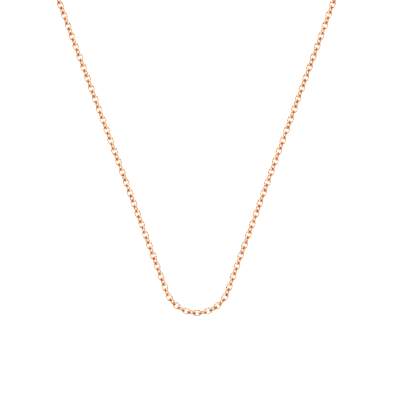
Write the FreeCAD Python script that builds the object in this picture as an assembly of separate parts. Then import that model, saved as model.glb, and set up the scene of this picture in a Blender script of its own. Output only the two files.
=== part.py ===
import FreeCAD, Part
import math
import os

# Fine oval cable chain necklace with a lobster claw clasp and an end tag.
# It lies flat on the plane Z = 0 as a long drop shape: a small round bend at -Y, two
# straight sides, and a wide round arc at +Y, where the unfastened clasp lies next to its tag.
# Every link is a closed ring of round wire, made as its own solid. Links are kept in
# runs, one run to a sub-part; two runs meet where one end wire bears on another.

V = FreeCAD.Vector

# ---------------------------------------------------------------- driving dimensions, mm
WIRE = 0.52            # diameter of the link wire
LINK_WIDTH = 2.15      # outside width of a link
PITCH = 1.591          # length that one link adds to the taut chain
PLAY = 0.03            # gap between two end wires that bear on each other
END_FLAT = 0.12        # half the short straight length at each end of a link
ROLL_WIDE = 20.0       # roll of the even links from the table, degrees
ROLL_NARROW = (-60.0, -53.0)   # roll of the odd links, in turn
ROLL_JITTER = 2.2      # uneven roll from link to link, degrees, each way

HALF_ANGLE = 20.2      # each straight side from the Y axis, degrees
R_BEND = 9.26          # centreline radius of the bend at the bottom
R_NECK = 51.47         # centreline radius of the wide arc at the back of the neck

LINKS_SIDE = 135       # links on each side of the middle link
RUN = 6                # links in one run
HALF_ROOT = 3          # the middle run holds this many links on each side of the middle link

TURN = 45.0            # travel of each pivot between two runs, degrees, each way
# which way each pivot turns as positive, from the middle run outwards
SENSE = {"right": "-+-++--++--+-+-+---+-+",
         "left": "-+---+++-+---+-++++-+-"}

CHAIN_Z = 0.984        # height of the chain's centreline over the table

RING_R = 0.95          # jump ring, centreline radius
RING_WIRE = 0.45       # jump ring, wire diameter
RING_ROLL = 53.0       # roll of a jump ring from the table, degrees

EYE_R = 0.85           # clasp eye, hole radius
EYE_RIM = 0.42         # clasp eye, width of the rim
EYE_T = 0.60           # clasp eye, thickness
EYE_HANG = 0.30        # the ring's wire lies this far behind the middle of the eye
CLAW_T = 1.70          # clasp body, thickness
CLAW_CX = 4.55         # clasp body: centre, half length and half width of its oval outline
CLAW_A = 3.95
CLAW_B = 2.05
BAY_CX = 5.45          # the hollow that holds the tag: centre and half axes
BAY_CY = 0.18
BAY_A = 1.95
BAY_B = 1.22
SLOT_T = 0.92          # slot for the trigger
TRIG_T = 0.80          # trigger thickness
PIVOT = (2.70, 0.35)   # rivet centre in the clasp
RIVET_R = 0.30
RIVET_PLAY = 0.03

TAG_L = 6.40           # end tag: length, width and thickness
TAG_W = 3.40
TAG_T = 0.45
TAG_HOLE_R = 1.10      # hole for the claw
TAG_RIM = 0.45         # metal round the small hole
TAG_SMALL_R = 0.70     # hole for the jump ring
TAG_HANG = 0.15        # the ring's wire lies this far behind the middle of that hole
TAG_PITCH = 5.6        # slope of the tag from its ring down to the table, degrees


# ---------------------------------------------------------------- chain path
def path_point(s):
    """Point and direction on the centreline, s mm from the bottom of the bend, + to +X."""
    a = math.radians(HALF_ANGLE)
    side = 1.0 if s >= 0 else -1.0
    s = abs(s)
    bend = R_BEND * (math.pi / 2 - a)
    straight = (R_NECK - R_BEND) / math.tan(a)
    if s <= bend:
        t = s / R_BEND
        x, y, dx, dy = R_BEND * math.sin(t), R_BEND * (1 - math.cos(t)), math.cos(t), math.sin(t)
    elif s <= bend + straight:
        u = s - bend
        x = R_BEND * math.cos(a) + u * math.sin(a)
        y = R_BEND * (1 - math.sin(a)) + u * math.cos(a)
        dx, dy = math.sin(a), math.cos(a)
    else:
        t = (s - bend - straight) / R_NECK - a
        cy = R_BEND + (R_NECK - R_BEND) / math.sin(a)
        x, y = R_NECK * math.cos(t), cy + R_NECK * math.sin(t)
        dx, dy = -math.sin(t), math.cos(t)
    return side * x, y, dx, side * dy


def step_from(s, chord):
    """Arc length of the point whose straight distance from s is chord, further along."""
    x0, y0 = path_point(s)[:2]
    t = s + chord
    for _ in range(30):
        x1, y1 = path_point(t)[:2]
        t += (abs(chord) - math.hypot(x1 - x0, y1 - y0)) * (1 if chord > 0 else -1)
    return t


def bearing_points():
    """Arc length of every place where two links bear on each other, by index."""
    pts = {0: -PITCH / 2, 1: PITCH / 2}
    x = step_from(0.0, PITCH / 2)
    pts[0], pts[1] = -x, x
    for k in range(1, LINKS_SIDE + 1):
        pts[k + 1] = step_from(pts[k], PITCH)
        pts[-k] = -pts[k + 1]
    return pts


def jitter(i):
    v = math.sin(12.9898 * (i + 400)) * 43758.5453
    return 2 * (v - math.floor(v)) - 1


def roll_of(i):
    """Roll of link i about its own length, degrees, from flat on the table."""
    base = ROLL_WIDE if i % 2 == 0 else ROLL_NARROW[((i - 1) // 2) % 2]
    return base + ROLL_JITTER * jitter(i)


BEARS = bearing_points()
TIP = (WIRE + PLAY) / 2          # an end wire's centre lies this far past the bearing point
LINK_REACH = PITCH / 2 + TIP     # half the distance between a link's two end wire centres


def axes_at(p0, p1, roll):
    """Centre and the three axes (along, across, normal) of a piece between two points."""
    d = V(p1[0] - p0[0], p1[1] - p0[1], p1[2] - p0[2])
    d.normalize()
    side = V(d.y, -d.x, 0)
    side.normalize()
    up = side.cross(d)
    r = math.radians(roll)
    across = side * math.cos(r) + up * math.sin(r)
    normal = d.cross(across) * -1
    mid = V((p0[0] + p1[0]) / 2, (p0[1] + p1[1]) / 2, (p0[2] + p1[2]) / 2)
    return mid, d, across, normal


def link_frame(i):
    p0 = path_point(BEARS[i])
    p1 = path_point(BEARS[i + 1])
    return axes_at((p0[0], p0[1], CHAIN_Z), (p1[0], p1[1], CHAIN_Z), roll_of(i))


def place(shape, mid, d, across, normal):
    m = FreeCAD.Matrix(
        d.x, across.x, normal.x, mid.x,
        d.y, across.y, normal.y, mid.y,
        d.z, across.z, normal.z, mid.z,
        0, 0, 0, 1)
    if d.cross(across).dot(normal) < 0:
        m = FreeCAD.Matrix(
            d.x, across.x, -normal.x, mid.x,
            d.y, across.y, -normal.y, mid.y,
            d.z, across.z, -normal.z, mid.z,
            0, 0, 0, 1)
    s = shape.copy()
    s.Placement = FreeCAD.Placement(m)
    return s


# ---------------------------------------------------------------- one link
def make_link():
    """Oval ring of round wire in the XY plane, long axis X, closed and centred."""
    half_w = (LINK_WIDTH - WIRE) / 2
    r = half_w - END_FLAT
    hx = LINK_REACH
    sx = hx - r
    q = math.pi / 2

    def corner(cx, cy, a0):
        p = [V(cx + r * math.cos(a), cy + r * math.sin(a), 0) for a in (a0, a0 + q / 2, a0 + q)]
        return Part.Arc(*p).toShape()

    def line(a, b):
        return Part.LineSegment(V(*a, 0), V(*b, 0)).toShape()

    spine = Part.Wire([
        line((hx, -END_FLAT), (hx, END_FLAT)), corner(sx, END_FLAT, 0),
        line((sx, half_w), (-sx, half_w)), corner(-sx, END_FLAT, q),
        line((-hx, END_FLAT), (-hx, -END_FLAT)), corner(-sx, -END_FLAT, 2 * q),
        line((-sx, -half_w), (sx, -half_w)), corner(sx, -END_FLAT, 3 * q)])
    section = Part.Wire([Part.Circle(V(hx, -END_FLAT, 0), V(0, 1, 0), WIRE / 2).toShape()])
    return spine.makePipeShell([section], True, True)


# ---------------------------------------------------------------- clasp, in its own frame
# X runs from the eye to the nose, Y to the trigger's side, Z across the thickness.
def oval_prism(cx, cy, a, b, t):
    if a >= b:
        e = Part.Ellipse(V(cx, cy, -t / 2), a, b)
    else:
        e = Part.Ellipse(V(cx, cy, -t / 2), b, a)
    return Part.Face(Part.Wire([e.toShape()])).extrude(V(0, 0, t))


def prism(points, t, z0=None):
    z = -t / 2 if z0 is None else z0
    pts = [V(x, y, z) for x, y in points]
    return Part.Face(Part.makePolygon(pts + [pts[0]])).extrude(V(0, 0, t))


def oval_at(cx, cy, a, b, deg):
    t = math.radians(deg)
    return cx + a * math.cos(t), cy + b * math.sin(t)


GATE_FROM, GATE_TO = 104.0, 47.0     # the gap in the outline that the trigger closes, degrees


def make_claw():
    body = oval_prism(CLAW_CX, 0, CLAW_A, CLAW_B, CLAW_T)
    rims = [e for e in body.Edges if abs(abs(e.CenterOfMass.z) - CLAW_T / 2) < 1e-6]
    body = body.makeFillet(0.55, rims)
    # neck and eye
    neck = prism([(0.2, -0.75), (2.6, -1.05), (2.6, 1.05), (0.2, 0.75)], EYE_T)
    eye = Part.makeCylinder(EYE_R + EYE_RIM, EYE_T, V(0, 0, -EYE_T / 2))
    eye = eye.makeFillet(0.15, [e for e in eye.Edges if abs(abs(e.CenterOfMass.z) - EYE_T / 2) < 1e-6])
    body = body.fuse([neck, eye])
    body = body.cut(Part.makeCylinder(EYE_R, 4, V(0, 0, -2)))
    # hollow for the tag
    body = body.cut(oval_prism(BAY_CX, BAY_CY, BAY_A, BAY_B, 4))
    # gap in the outline between the slot and the hook's tip
    ring = [oval_at(CLAW_CX, 0, CLAW_A * 1.25, CLAW_B * 1.4, GATE_FROM + (GATE_TO - GATE_FROM) * k / 8)
            for k in range(9)]
    gap = prism([(BAY_CX - 0.95, 0.3)] + ring + [(BAY_CX + 1.30, 0.3)], 4)
    body = body.cut(gap)
    # slot that holds the trigger's root and lets it swing inwards
    slot = prism([(1.75, -0.85), (4.9, -0.85), (4.9, 2.6), (1.75, 2.6)], SLOT_T)
    body = body.cut(slot)
    # rivet hole through both cheeks
    body = body.cut(Part.makeCylinder(RIVET_R, 4, V(PIVOT[0], PIVOT[1], -2)))
    return body.Solids[0]


def make_trigger():
    """Boss on the rivet, gate arm along the outline, thumb tab standing out in between."""
    boss = Part.makeCylinder(0.72, TRIG_T, V(PIVOT[0], PIVOT[1], -TRIG_T / 2))
    outer, inner = [], []
    a0, a1 = 117.0, GATE_TO + 5.4
    for k in range(13):
        a = a0 + (a1 - a0) * k / 12
        outer.append(oval_at(CLAW_CX, 0, CLAW_A - 0.06, CLAW_B - 0.08, a))
        inner.append(oval_at(CLAW_CX, 0, CLAW_A - 0.80 - 0.1 * k / 12, CLAW_B - 0.78 + 0.0 * k, a))
    arm_wire = outer + inner[::-1]
    arm = prism(arm_wire, TRIG_T)
    web = prism([(PIVOT[0] - 0.45, PIVOT[1] + 0.5), (PIVOT[0] + 0.62, PIVOT[1] - 0.3),
                 inner[0], inner[4], outer[4], outer[0]], TRIG_T)
    tab = prism([(3.05, 1.55), (3.75, 1.75), (4.0, 2.55), (3.85, 2.85), (3.5, 2.95), (3.2, 2.75)], TRIG_T)
    s = boss.fuse([arm, web, tab]).removeSplitter()
    s = s.cut(Part.makeCylinder(RIVET_R + RIVET_PLAY, 4, V(PIVOT[0], PIVOT[1], -2)))
    return s.Solids[0]


def make_rivet():
    """Plain pin through both cheeks, ending flush in the body's faces."""
    return Part.makeCylinder(RIVET_R, CLAW_T, V(PIVOT[0], PIVOT[1], -CLAW_T / 2))


def make_spring():
    """Bent strip behind the trigger's root, which pushes the gate shut."""
    pts = [V(1.82, -0.64, 0), V(2.40, -0.76, 0), V(3.0, -0.74, 0), V(3.55, -0.60, 0)]
    out = [V(p.x, p.y, -0.25) for p in pts]
    back = [V(p.x, p.y + 0.09, -0.25) for p in pts][::-1]
    w = Part.makePolygon(out + back + [out[0]])
    return Part.Face(w).extrude(V(0, 0, 0.5))


# ---------------------------------------------------------------- ring and tag
def make_ring():
    return Part.makeTorus(RING_R, RING_WIRE / 2)


def make_tag():
    """Flat drop-shaped tag: X from the ring's hole (origin) to the claw's end."""
    r_small = TAG_SMALL_R + TAG_RIM
    r_big = TAG_W / 2
    far = TAG_L - r_small - r_big
    ratio = (r_big - r_small) / far
    a = math.acos(-ratio)
    p1 = V(r_small * math.cos(a), r_small * math.sin(a), 0)
    p2 = V(far + r_big * math.cos(a), r_big * math.sin(a), 0)
    w = Part.Wire([
        Part.Arc(V(p1.x, -p1.y, 0), V(-r_small, 0, 0), p1).toShape(),
        Part.LineSegment(p1, p2).toShape(),
        Part.Arc(p2, V(far + r_big, 0, 0), V(p2.x, -p2.y, 0)).toShape(),
        Part.LineSegment(V(p2.x, -p2.y, 0), V(p1.x, -p1.y, 0)).toShape()])
    s = Part.Face(w).extrude(V(0, 0, TAG_T))
    s.translate(V(0, 0, -TAG_T / 2))
    s = s.makeFillet(0.10, [e for e in s.Edges if abs(abs(e.CenterOfMass.z) - TAG_T / 2) < 1e-6])
    s = s.cut(Part.makeCylinder(TAG_SMALL_R, 4, V(0, 0, -2)))
    s = s.cut(Part.makeCylinder(TAG_HOLE_R, 4, V(far, 0, -2)))
    return s.Solids[0], far


# ---------------------------------------------------------------- runs of links
def runs():
    """Name of each run and its link indexes, the middle run first, then each side upwards.

    Run 01 of each side is the one at the clasp or the tag."""
    out = [("chain_run_middle", list(range(-HALF_ROOT, HALF_ROOT + 1)))]
    n = (LINKS_SIDE - HALF_ROOT) // RUN
    for side, sign in (("right", 1), ("left", -1)):
        for k in range(n):
            first = HALF_ROOT + 1 + k * RUN
            out.append((f"chain_run_{side}_{n - k:02d}", [sign * i for i in range(first, first + RUN)]))
    return out


# a jump ring's tip starts this far before the bearing point at the last link
RING_TIP = (WIRE + RING_WIRE) / 2 + PLAY - TIP


def ring_bearing(link_end_s, sign):
    """Where the jump ring bears on the next piece, beyond the chain's last link."""
    reach = 2 * RING_R - RING_TIP * 2
    return step_from(link_end_s, sign * reach)


def flat_frame(sa, sb, z0, z1):
    a, b = path_point(sa), path_point(sb)
    return (a[0], a[1], z0), (b[0], b[1], z1)


def build():
    """All shapes by node name, in the path's frame, and the pivots."""
    link = make_link()
    shapes, pivots = {}, {}
    order = runs()
    for name, ids in order:
        shapes[name] = Part.makeCompound([place(link, *link_frame(i)) for i in ids])
    # pivots between runs: parent's end wire or child's end wire in turn
    for side, sign in (("right", 1), ("left", -1)):
        names = ["chain_run_middle"] + [n for n, _ in order if side in n]
        for k in range(1, len(names)):
            parent_link = sign * (HALF_ROOT + (k - 1) * RUN)
            child_link = parent_link + sign
            which = parent_link if k % 2 else child_link
            mid, d, across, normal = link_frame(which)
            end = sign if which == parent_link else -sign
            pos = mid + d * (LINK_REACH * end)
            sense = 1 if SENSE[side][k - 1] == "+" else -1
            pivots[names[k] + "_turn"] = (names[k - 1], names[k], pos, across * sense, k)
    mid = link_frame(0)[0]
    pivots["front"] = (None, "chain_run_middle", mid, V(0, -1, 0), 0)
    # findings
    for side, sign in (("clasp", -1), ("tag", 1)):
        last = sign * LINKS_SIDE
        s_end = BEARS[last + 1] if sign > 0 else BEARS[last]
        s_ring = ring_bearing(s_end, sign)
        a, b = flat_frame(s_end, s_ring, CHAIN_Z, CHAIN_Z)
        roll = RING_ROLL * sign
        mid, d, across, normal = axes_at(a, b, roll)
        ring = place(make_ring(), mid, d, across, normal)
        shapes[f"jump_ring_{side}"] = ring
        lmid, ld, lacross, _ = link_frame(last)
        parent = f"chain_run_{'right' if sign > 0 else 'left'}_01"
        pivots[f"jump_ring_{side}_turn"] = (parent, f"jump_ring_{side}", lmid + ld * (LINK_REACH * sign), lacross, 0)
        ring_tip = mid + d * RING_R
        if side == "clasp":
            # the eye's hole centre lies past the ring's wire, which bears on the eye's rear rim
            hole_off = EYE_HANG
            s0 = step_from(s_end, sign * (2 * RING_R - RING_TIP))
            nose = CLAW_CX + CLAW_A
            s_eye = step_from(s0, sign * hole_off)
            s_nose = step_from(s_eye, sign * nose)
            pa, pb = path_point(s_eye), path_point(s_nose)
            cm, cd, cac, cn = axes_at((pa[0], pa[1], CHAIN_Z), (pb[0], pb[1], CHAIN_Z), 0.0)
            origin = V(ring_tip.x, ring_tip.y, CHAIN_Z) + cd * hole_off
            up = V(0, 0, 1)
            yv = up.cross(cd)
            m = FreeCAD.Placement(FreeCAD.Matrix(
                cd.x, yv.x, up.x, origin.x, cd.y, yv.y, up.y, origin.y, cd.z, yv.z, up.z, origin.z, 0, 0, 0, 1))
            for node, maker in (("clasp_body", make_claw), ("clasp_trigger", make_trigger),
                                ("clasp_rivet", make_rivet), ("clasp_spring", make_spring)):
                s = maker()
                s.Placement = m
                shapes[node] = s
            pivots["clasp_swing"] = (f"jump_ring_{side}", "clasp_body", origin, V(0, 0, 1), 0)
            pivots["trigger_press"] = ("clasp_body", "clasp_trigger",
                                       m.multVec(V(PIVOT[0], PIVOT[1], 0)), m.Rotation.multVec(V(0, 0, -1)), 0)
        else:
            hole_off = TAG_HANG
            tag, far = make_tag()
            s0 = step_from(s_end, sign * (2 * RING_R - RING_TIP))
            s_far = step_from(s0, sign * (hole_off + far))
            pb = path_point(s_far)
            cd = V(pb[0] - ring_tip.x, pb[1] - ring_tip.y, 0)
            cd.normalize()
            tilt = math.radians(TAG_PITCH)
            cd = cd * math.cos(tilt) + V(0, 0, -math.sin(tilt))
            yv = V(0, 0, 1).cross(cd)
            yv.normalize()
            up = cd.cross(yv)
            origin = ring_tip + cd * hole_off
            m = FreeCAD.Placement(FreeCAD.Matrix(
                cd.x, yv.x, up.x, origin.x, cd.y, yv.y, up.y, origin.y, cd.z, yv.z, up.z, origin.z, 0, 0, 0, 1))
            tag.Placement = m
            shapes["end_tag"] = tag
            pivots["tag_swing"] = (f"jump_ring_{side}", "end_tag", origin, up, 0)
            pivots["tag_hole"] = (None, "end_tag", m.multVec(V(far, 0, 0)), m.Rotation.multVec(V(0, 0, 1)), 0)
    return shapes, pivots


def settle_frame(shapes, pivots):
    """Move everything so that the origin is under the middle of the whole, on the table."""
    box = FreeCAD.BoundBox()
    for s in shapes.values():
        box.add(s.optimalBoundingBox(True, False))
    shift = V(-(box.XMin + box.XMax) / 2, -(box.YMin + box.YMax) / 2, -box.ZMin)
    for s in shapes.values():
        s.translate(shift)
    moved = {k: (p[0], p[1], p[2] + shift, p[3], p[4]) for k, p in pivots.items()}
    return shift, moved, box


def main():
    os.makedirs("parts", exist_ok=True)
    shapes, pivots = build()
    shift, pivots, box = settle_frame(shapes, pivots)
    for name, shape in shapes.items():
        shape.exportStep(f"parts/{name}.step")
    print(f"{len(shapes)} sub-parts; size {box.XLength:.3f} x {box.YLength:.3f} x {box.ZLength:.3f} mm;"
          f" shift {shift.x:.6f} {shift.y:.6f} {shift.z:.6f}")
    return shapes, pivots, shift


SHAPES, PIVOTS, SHIFT = main()
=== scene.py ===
import math

import bmesh
import bpy
import numpy as np
from mathutils import Matrix, Vector


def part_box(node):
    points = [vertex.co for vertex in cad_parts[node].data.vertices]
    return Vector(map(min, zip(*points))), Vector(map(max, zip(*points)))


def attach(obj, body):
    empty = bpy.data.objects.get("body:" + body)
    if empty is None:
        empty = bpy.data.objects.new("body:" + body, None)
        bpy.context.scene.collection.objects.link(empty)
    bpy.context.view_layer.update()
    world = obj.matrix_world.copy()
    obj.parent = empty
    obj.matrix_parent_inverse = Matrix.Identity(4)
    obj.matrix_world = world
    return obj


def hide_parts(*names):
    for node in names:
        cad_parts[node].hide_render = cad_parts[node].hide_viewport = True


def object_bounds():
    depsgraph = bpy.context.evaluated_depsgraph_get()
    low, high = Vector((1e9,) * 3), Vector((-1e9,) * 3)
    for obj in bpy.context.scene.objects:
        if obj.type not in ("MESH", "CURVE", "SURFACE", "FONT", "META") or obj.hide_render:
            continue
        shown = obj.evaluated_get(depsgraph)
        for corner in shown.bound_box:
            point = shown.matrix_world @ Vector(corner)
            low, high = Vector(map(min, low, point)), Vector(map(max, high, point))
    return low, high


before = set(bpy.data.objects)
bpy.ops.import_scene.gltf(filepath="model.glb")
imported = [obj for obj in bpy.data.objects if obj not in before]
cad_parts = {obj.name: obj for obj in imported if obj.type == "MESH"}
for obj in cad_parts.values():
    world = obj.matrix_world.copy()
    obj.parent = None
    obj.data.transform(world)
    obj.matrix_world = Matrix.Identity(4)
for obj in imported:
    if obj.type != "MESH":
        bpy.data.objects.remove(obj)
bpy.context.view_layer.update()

# ------------------------------------------------------------------ chain path, mm (as in the design)
WIRE, LINK_WIDTH, PITCH, PLAY = 0.52, 2.15, 1.591, 0.03
ROLL_WIDE, ROLL_NARROW, ROLL_JITTER = 20.0, (-60.0, -53.0), 2.2
HALF_ANGLE, R_BEND, R_NECK = 20.2, 9.26, 51.47
LINKS_SIDE, RUN, HALF_ROOT = 135, 6, 3
CHAIN_Z = 0.984
SHIFT = Vector((0.003668, -92.287508, -0.000296))
RING_R, RING_WIRE, RING_ROLL = 0.95, 0.45, 53.0
MM = 0.001
# painted shade on the chain links: full within the first distance (mm) of where a neighbour bears, none beyond the
# second
SHADE_FROM, SHADE_TO = 0.36, 0.92
FLAT_SHADE, UPRIGHT_SHADE = (0.0, 0.85), (0.36, 1.0)    # least and most painted shade of the flat and the upright links; the upright ones are painted darker all over
# dark brown painted into the links as painted shade, standing in for the shadow and dim reflections where links cross
SHADE_BROWN = (0.46, 0.165, 0.060)


def path_point(s):
    a = math.radians(HALF_ANGLE)
    side = 1.0 if s >= 0 else -1.0
    s = abs(s)
    bend = R_BEND * (math.pi / 2 - a)
    straight = (R_NECK - R_BEND) / math.tan(a)
    if s <= bend:
        t = s / R_BEND
        x, y = R_BEND * math.sin(t), R_BEND * (1 - math.cos(t))
    elif s <= bend + straight:
        u = s - bend
        x = R_BEND * math.cos(a) + u * math.sin(a)
        y = R_BEND * (1 - math.sin(a)) + u * math.cos(a)
    else:
        t = (s - bend - straight) / R_NECK - a
        cy = R_BEND + (R_NECK - R_BEND) / math.sin(a)
        x, y = R_NECK * math.cos(t), cy + R_NECK * math.sin(t)
    return Vector((side * x, y, CHAIN_Z))


def step_from(s, chord):
    p0 = path_point(s)
    t = s + chord
    for _ in range(30):
        t += (abs(chord) - (path_point(t) - p0).length) * (1 if chord > 0 else -1)
    return t


def bearing_points():
    x = step_from(0.0, PITCH / 2)
    pts = {0: -x, 1: x}
    for k in range(1, LINKS_SIDE + 1):
        pts[k + 1] = step_from(pts[k], PITCH)
        pts[-k] = -pts[k + 1]
    return pts


BEARS = bearing_points()
TIP = (WIRE + PLAY) / 2
LINK_REACH = PITCH / 2 + TIP


def noise1(i, seed=400):
    v = math.sin(12.9898 * (i + seed)) * 43758.5453
    return 2 * (v - math.floor(v)) - 1


def roll_of(i):
    base = ROLL_WIDE if i % 2 == 0 else ROLL_NARROW[((i - 1) // 2) % 2]
    return base + ROLL_JITTER * noise1(i)


def axes_at(p0, p1, roll):
    d = (p1 - p0).normalized()
    side = Vector((d.y, -d.x, 0)).normalized()
    up = side.cross(d)
    r = math.radians(roll)
    across = side * math.cos(r) + up * math.sin(r)
    return (p0 + p1) / 2, d, across, d.cross(across)


def link_frame(i):
    return axes_at(path_point(BEARS[i]), path_point(BEARS[i + 1]), roll_of(i))


# ------------------------------------------------------------------ meshes
def ring_rows(curve, section, wobble, seam_at, seam):
    """Closed tube rows: curve(t) gives a plane point and its outward direction, t from 0 to 1."""
    rows = []
    for a in range(curve["n"]):
        t = a / curve["n"]
        (cx, cy), (nx, ny) = curve["f"](t)
        near = abs((t - seam_at + 0.5) % 1.0 - 0.5) * curve["n_len"]
        swell = 1.0 + seam * math.exp(-((near / 0.075) ** 2)) - 0.55 * seam * math.exp(-(((near - 0.16) / 0.05) ** 2))
        row = []
        for b in range(section["n"]):
            q = 2 * math.pi * b / section["n"]
            r = section["r"] * swell * (1 + wobble * math.sin(3 * q + 9 * t * math.pi))
            row.append((cx + nx * r * math.cos(q), cy + ny * r * math.cos(q), r * math.sin(q)))
        rows.append(row)
    return rows


def oval(t):
    """Centreline of a link: nearly round ends, short straight sides. Starts at the middle of a side."""
    half_w = (LINK_WIDTH - WIRE) / 2
    r, hx, flat = half_w - 0.12, LINK_REACH, 0.12
    sx = hx - r
    q = r * math.pi / 2
    parts = [("x", sx, (0, 1)), ("c", q, (sx, flat, 90)), ("y", 2 * flat, (1, 0)), ("c", q, (sx, -flat, 0)),
             ("x", 2 * sx, (0, -1)), ("c", q, (-sx, -flat, -90)), ("y", 2 * flat, (-1, 0)), ("c", q, (-sx, flat, -180)),
             ("x", sx, (0, 1))]
    total = sum(p[1] for p in parts)
    u = (t % 1.0) * total
    pos = 0
    starts = [(0, half_w), None, (hx, flat), None, (sx, -half_w), None, (-hx, -flat), None, (-sx, half_w)]
    dirs = [(1, 0), None, (0, -1), None, (-1, 0), None, (0, 1), None, (1, 0)]
    for k, (kind, ln, data) in enumerate(parts):
        if u <= ln + 1e-12:
            if kind == "c":
                cx, cy, a0 = data
                a = math.radians(a0 - 90 * u / ln)
                return (cx + r * math.cos(a), cy + r * math.sin(a)), (math.cos(a), math.sin(a))
            x, y = starts[k]
            return (x + dirs[k][0] * u, y + dirs[k][1] * u), data
        u -= ln
    return (0, half_w), (0, 1)


LINK_LEN = 4 * (LINK_REACH - ((LINK_WIDTH - WIRE) / 2 - 0.12)) + 0.48 + 2 * math.pi * ((LINK_WIDTH - WIRE) / 2 - 0.12)


def painted_shade(p):
    """0 to 1: painted shade on a link, full where its neighbours bear on it and fading with distance from there."""
    d = math.sqrt((abs(p[0]) - PITCH / 2) ** 2 + p[1] ** 2 + p[2] ** 2)
    t = min(1.0, max(0.0, (SHADE_TO - d) / (SHADE_TO - SHADE_FROM)))
    return t * t * (3 - 2 * t)


def add_tube(verts, faces, rows, m, shade=None, shade_range=(0.0, 1.0)):
    base = len(verts)
    n, k = len(rows), len(rows[0])
    for row in rows:
        for p in row:
            verts.append((m @ Vector(p)) * MM)
            # store each vertex's painted shade amount, scaled into the link's range
            if shade is not None:
                shade.append(shade_range[0] + (shade_range[1] - shade_range[0]) * painted_shade(p))
    for a in range(n):
        for b in range(k):
            faces.append((base + a * k + b, base + ((a + 1) % n) * k + b,
                          base + ((a + 1) % n) * k + (b + 1) % k, base + a * k + (b + 1) % k))


def frame_matrix(mid, d, across, normal):
    m = Matrix((
        (d.x, across.x, normal.x, mid.x + SHIFT.x),
        (d.y, across.y, normal.y, mid.y + SHIFT.y),
        (d.z, across.z, normal.z, mid.z + SHIFT.z),
        (0, 0, 0, 1)))
    return m


def new_piece(name, verts, faces, material, smooth=True, shade=None):
    me = bpy.data.meshes.new(name)
    me.from_pydata([tuple(v) for v in verts], [], faces)
    me.validate()
    bm = bmesh.new()
    bm.from_mesh(me)
    bmesh.ops.recalc_face_normals(bm, faces=bm.faces)
    bm.to_mesh(me)
    bm.free()
    me.polygons.foreach_set("use_smooth", [smooth] * len(me.polygons))
    # per-vertex painted shade amounts, read by the chain material
    if shade is not None:
        at = me.attributes.new("painted_shade", "FLOAT", "POINT")
        at.data.foreach_set("value", shade)
    ob = bpy.data.objects.new(name, me)
    bpy.context.scene.collection.objects.link(ob)
    me.materials.append(material)
    return ob


# ------------------------------------------------------------------ materials
def node(nt, kind, **values):
    n = nt.nodes.new(kind)
    for k, v in values.items():
        setattr(n, k, v)
    return n


def rose_gold(name, base, deep, rough=(0.10, 0.22), scratch=0.5, seed=0.0, shade_colour=None):
    m = bpy.data.materials.new(name)
    m.use_nodes = True
    nt = m.node_tree
    nt.nodes.clear()
    out = node(nt, "ShaderNodeOutputMaterial")
    bsdf = node(nt, "ShaderNodeBsdfPrincipled")
    nt.links.new(bsdf.outputs[0], out.inputs[0])
    bsdf.inputs["Metallic"].default_value = 1.0
    bsdf.inputs["IOR"].default_value = 1.45
    coord = node(nt, "ShaderNodeTexCoord")
    mapping = node(nt, "ShaderNodeMapping")
    mapping.inputs["Location"].default_value = (seed, seed * 0.7, seed * 1.3)
    nt.links.new(coord.outputs["Object"], mapping.inputs["Vector"])
    # slow colour drift along the chain, and small warmer patches where polish has worn
    drift = node(nt, "ShaderNodeTexNoise")
    drift.inputs["Scale"].default_value = 420.0
    drift.inputs["Detail"].default_value = 3.0
    nt.links.new(mapping.outputs[0], drift.inputs["Vector"])
    ramp = node(nt, "ShaderNodeValToRGB")
    ramp.color_ramp.elements[0].position = 0.35
    ramp.color_ramp.elements[0].color = (*deep, 1)
    ramp.color_ramp.elements[1].position = 0.62
    ramp.color_ramp.elements[1].color = (*base, 1)
    nt.links.new(drift.outputs["Fac"], ramp.inputs["Fac"])
    if shade_colour is None:
        nt.links.new(ramp.outputs["Color"], bsdf.inputs["Base Color"])
    else:
        # mix the colour towards the painted shade brown by the per-vertex painted shade amount
        shade_attr = node(nt, "ShaderNodeAttribute", attribute_name="painted_shade")
        mixer = node(nt, "ShaderNodeMix", data_type="RGBA")
        nt.links.new(shade_attr.outputs["Fac"], mixer.inputs["Factor"])
        nt.links.new(ramp.outputs["Color"], mixer.inputs[6])
        mixer.inputs[7].default_value = (*shade_colour, 1)
        nt.links.new(mixer.outputs[2], bsdf.inputs["Base Color"])
    # fine rubbing marks
    fine = node(nt, "ShaderNodeTexNoise")
    fine.inputs["Scale"].default_value = 3800.0
    fine.inputs["Detail"].default_value = 5.0
    fine.inputs["Roughness"].default_value = 0.6
    nt.links.new(mapping.outputs[0], fine.inputs["Vector"])
    wave = node(nt, "ShaderNodeTexWave")
    wave.wave_type = "BANDS"
    wave.bands_direction = "DIAGONAL"
    wave.inputs["Scale"].default_value = 1500.0
    wave.inputs["Distortion"].default_value = 14.0
    wave.inputs["Detail"].default_value = 3.0
    wave.inputs["Detail Scale"].default_value = 2.0
    nt.links.new(mapping.outputs[0], wave.inputs["Vector"])
    mix = node(nt, "ShaderNodeMath", operation="MULTIPLY")
    nt.links.new(fine.outputs["Fac"], mix.inputs[0])
    nt.links.new(wave.outputs["Fac"], mix.inputs[1])
    spread = node(nt, "ShaderNodeMapRange")
    spread.inputs["From Min"].default_value = 0.05
    spread.inputs["From Max"].default_value = 0.55
    spread.inputs["To Min"].default_value = rough[0]
    spread.inputs["To Max"].default_value = rough[1]
    nt.links.new(mix.outputs[0], spread.inputs["Value"])
    nt.links.new(spread.outputs[0], bsdf.inputs["Roughness"])
    bump = node(nt, "ShaderNodeBump")
    bump.inputs["Strength"].default_value = scratch
    bump.inputs["Distance"].default_value = 0.000004
    nt.links.new(mix.outputs[0], bump.inputs["Height"])
    nt.links.new(bump.outputs[0], bsdf.inputs["Normal"])
    return m


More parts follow.
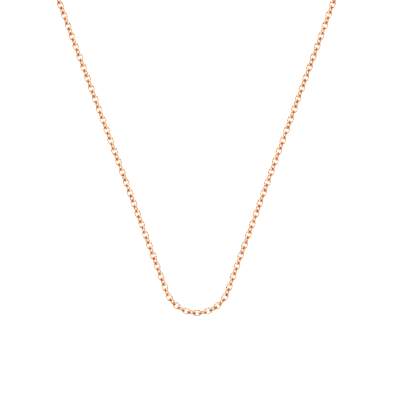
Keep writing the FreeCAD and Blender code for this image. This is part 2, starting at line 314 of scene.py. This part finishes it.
# the chain material darkens towards the brown by the links' painted shade
GOLD = rose_gold("rose_gold_chain", (0.95, 0.74, 0.56), (0.93, 0.67, 0.48), rough=(0.08, 0.20), scratch=0.35, shade_colour=SHADE_BROWN)
FIND = rose_gold("rose_gold_findings", (0.94, 0.59, 0.42), (0.91, 0.54, 0.37), rough=(0.24, 0.42), scratch=0.22, seed=3.1)
STEEL = rose_gold("spring_steel", (0.63, 0.63, 0.64), (0.55, 0.55, 0.57), rough=(0.22, 0.38), scratch=0.5, seed=7.7)


# ------------------------------------------------------------------ chain
def runs():
    out = [("chain_run_middle", list(range(-HALF_ROOT, HALF_ROOT + 1)))]
    n = (LINKS_SIDE - HALF_ROOT) // RUN
    for side, sign in (("right", 1), ("left", -1)):
        for k in range(n):
            first = HALF_ROOT + 1 + k * RUN
            out.append((f"chain_run_{side}_{n - k:02d}", [sign * i for i in range(first, first + RUN)]))
    return out


worst = 0.0
for name, ids in runs():
    verts, faces, shade = [], [], []
    for i in ids:
        rows = ring_rows({"n": 44, "n_len": LINK_LEN, "f": oval}, {"n": 16, "r": WIRE / 2},
                         0.006 * (1 + noise1(i, 91)), 0.0 + 0.02 * noise1(i, 7) + (0.5 if noise1(i, 55) > 0 else 0.0), 0.035)
        # upright links get painted shade all over, flat links only near where their neighbours bear
        add_tube(verts, faces, rows, frame_matrix(*link_frame(i)), shade, UPRIGHT_SHADE if i % 2 else FLAT_SHADE)
    piece = new_piece("links_" + name[10:], verts, faces, GOLD, shade=shade)
    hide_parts(name)
    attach(piece, name)
    lo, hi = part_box(name)
    co = np.array([v[:] for v in verts])
    worst = max(worst, float(np.abs(co.min(0) - np.array(lo)).max()), float(np.abs(co.max(0) - np.array(hi)).max()))
print("chain runs differ from the design's boxes by at most", round(worst * 1000, 4), "mm")

# ------------------------------------------------------------------ rings
for side, sign in (("clasp", -1), ("tag", 1)):
    last = sign * LINKS_SIDE
    s_end = BEARS[last + 1] if sign > 0 else BEARS[last]
    ring_tip = (WIRE + RING_WIRE) / 2 + PLAY - TIP
    s_ring = step_from(s_end, sign * (2 * RING_R - 2 * ring_tip))
    fr = axes_at(path_point(s_end), path_point(s_ring), RING_ROLL * sign)
    rows = ring_rows({"n": 72, "n_len": 2 * math.pi * RING_R,
                      "f": lambda t: ((RING_R * math.cos(2 * math.pi * t), RING_R * math.sin(2 * math.pi * t)),
                                      (math.cos(2 * math.pi * t), math.sin(2 * math.pi * t)))},
                     {"n": 24, "r": RING_WIRE / 2}, 0.003, 0.23, 0.03)
    verts, faces = [], []
    add_tube(verts, faces, rows, frame_matrix(*fr))
    ring = new_piece("ring_" + side, verts, faces, FIND)
    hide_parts("jump_ring_" + side)
    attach(ring, "jump_ring_" + side)


# ------------------------------------------------------------------ clasp
def cast_copy(node_name, name, voxel, rounds, body, crown=0):
    """Fine mesh of a cast and tumbled piece: the design's shape with its edges worn round and its flats crowned."""
    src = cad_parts[node_name]
    me = src.data.copy()
    me.name = name
    ob = bpy.data.objects.new(name, me)
    bpy.context.scene.collection.objects.link(ob)
    # work at a thousand times the size, where the remesher is exact
    me.transform(Matrix.Scale(1000, 4))
    mod = ob.modifiers.new("r", "REMESH")
    mod.mode = "VOXEL"
    mod.voxel_size = voxel
    mod.adaptivity = 0.0
    dg = bpy.context.evaluated_depsgraph_get()
    out = bpy.data.meshes.new_from_object(ob.evaluated_get(dg))
    ob.modifiers.clear()
    ob.data = out
    bm = bmesh.new()
    bm.from_mesh(out)
    for _ in range(rounds):
        bmesh.ops.smooth_vert(bm, verts=bm.verts, factor=0.5, use_axis_x=True, use_axis_y=True, use_axis_z=True)
    for _ in range(crown):
        bmesh.ops.smooth_vert(bm, verts=bm.verts, factor=0.5, use_axis_x=False, use_axis_y=False, use_axis_z=True)
    bm.to_mesh(out)
    bm.free()
    out.transform(Matrix.Scale(0.001, 4))
    out.polygons.foreach_set("use_smooth", [True] * len(out.polygons))
    out.materials.clear()
    out.materials.append(FIND)
    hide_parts(node_name)
    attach(ob, body)
    return ob


cast_copy("clasp_body", "claw", 0.045, 7, "clasp", crown=70)
cast_copy("clasp_trigger", "claw_trigger", 0.035, 5, "clasp_trigger", crown=25)
cast_copy("end_tag", "tag_blank", 0.04, 3, "end_tag", crown=14)
for n in ("clasp_rivet",):
    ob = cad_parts[n]
    ob.data.materials.clear()
    ob.data.materials.append(FIND)
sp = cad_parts["clasp_spring"]
sp.data.materials.clear()
sp.data.materials.append(STEEL)

# ------------------------------------------------------------------ floor, light, camera
lo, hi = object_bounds()
fl = bpy.data.meshes.new("floor")
g = 0.6
n = 24
fv = [((-g + 2 * g * i / n), (-g + 2 * g * j / n), 0.0) for j in range(n + 1) for i in range(n + 1)]
ff = [(j * (n + 1) + i, j * (n + 1) + i + 1, (j + 1) * (n + 1) + i + 1, (j + 1) * (n + 1) + i) for j in range(n) for i in range(n)]
fl.from_pydata(fv, [], ff)
floor = bpy.data.objects.new("floor", fl)
floor.location.z = -0.00002
bpy.context.scene.collection.objects.link(floor)
fm = bpy.data.materials.new("pale_floor")
fm.use_nodes = True
fb = fm.node_tree.nodes["Principled BSDF"]
fb.inputs["Base Color"].default_value = (0.9, 0.9, 0.9, 1)
fb.inputs["Roughness"].default_value = 0.9
fb.inputs["Specular IOR Level"].default_value = 0.1
fl.materials.append(fm)

TENT = 1.0
GROUND_W = 16.0
WALL_LOW, WALL_HIGH, ROOF = (1.70, 1.66, 1.60), (1.70, 1.66, 1.60), (0.22, 0.215, 0.21)
world = bpy.data.worlds.new("studio")
bpy.context.scene.world = world
world.use_nodes = True
wt = world.node_tree
bg = wt.nodes["Background"]
# a white tent with a dimmer roof round the camera's opening and bright walls
w_coord = wt.nodes.new("ShaderNodeTexCoord")
w_sep = wt.nodes.new("ShaderNodeSeparateXYZ")
wt.links.new(w_coord.outputs["Generated"], w_sep.inputs[0])
w_ramp = wt.nodes.new("ShaderNodeValToRGB")
els = w_ramp.color_ramp.elements
els[0].position, els[0].color = 0.0, (*WALL_LOW, 1)
els[1].position, els[1].color = 1.0, (*ROOF, 1)
for pos, col in ((0.25, WALL_LOW), (0.40, WALL_HIGH), (0.60, WALL_HIGH), (0.85, ROOF)):
    e = els.new(pos)
    e.color = (*col, 1)
wt.links.new(w_sep.outputs["Z"], w_ramp.inputs["Fac"])
wt.links.new(w_ramp.outputs["Color"], bg.inputs["Color"])
bg.inputs["Strength"].default_value = TENT

# broad light from above that whitens the ground; it isn't seen in the metal
top_data = bpy.data.lights.new("ground_light", "AREA")
top_data.shape = "SQUARE"
top_data.size = 0.9
top_data.energy = GROUND_W
top = bpy.data.objects.new("ground_light", top_data)
top.location = (0, 0, 0.9)
top.visible_glossy = False
bpy.context.scene.collection.objects.link(top)

cam_data = bpy.data.cameras.new("camera")
cam = bpy.data.objects.new("camera", cam_data)
bpy.context.scene.collection.objects.link(cam)
bpy.context.scene.camera = cam
# straight above; the picture's frame is 114.3 mm wide, with the bend's lowest point 311/400 down
PX = 114.3 / 400
bend_y = SHIFT.y
# the drop's axis leans 0.13 degrees in the frame and crosses the frame's middle row at 196.9 of 400
lean = math.radians(-0.13)
bx, by = (197.15 - 200) * PX, -(313.0 - 200) * PX
cx = SHIFT.x - (bx * math.cos(lean) - by * math.sin(lean))
cy = bend_y - (bx * math.sin(lean) + by * math.cos(lean))
cam_data.lens = 100
cam_data.sensor_width = 36
cam_data.clip_start = 0.01
dist = 114.3 * 100 / 36 + CHAIN_Z
cam.location = (cx * MM, cy * MM, dist * MM)
cam.rotation_euler = (0, 0, lean)

bpy.context.scene.view_settings.view_transform = "Standard"
bpy.context.scene.view_settings.look = "None"
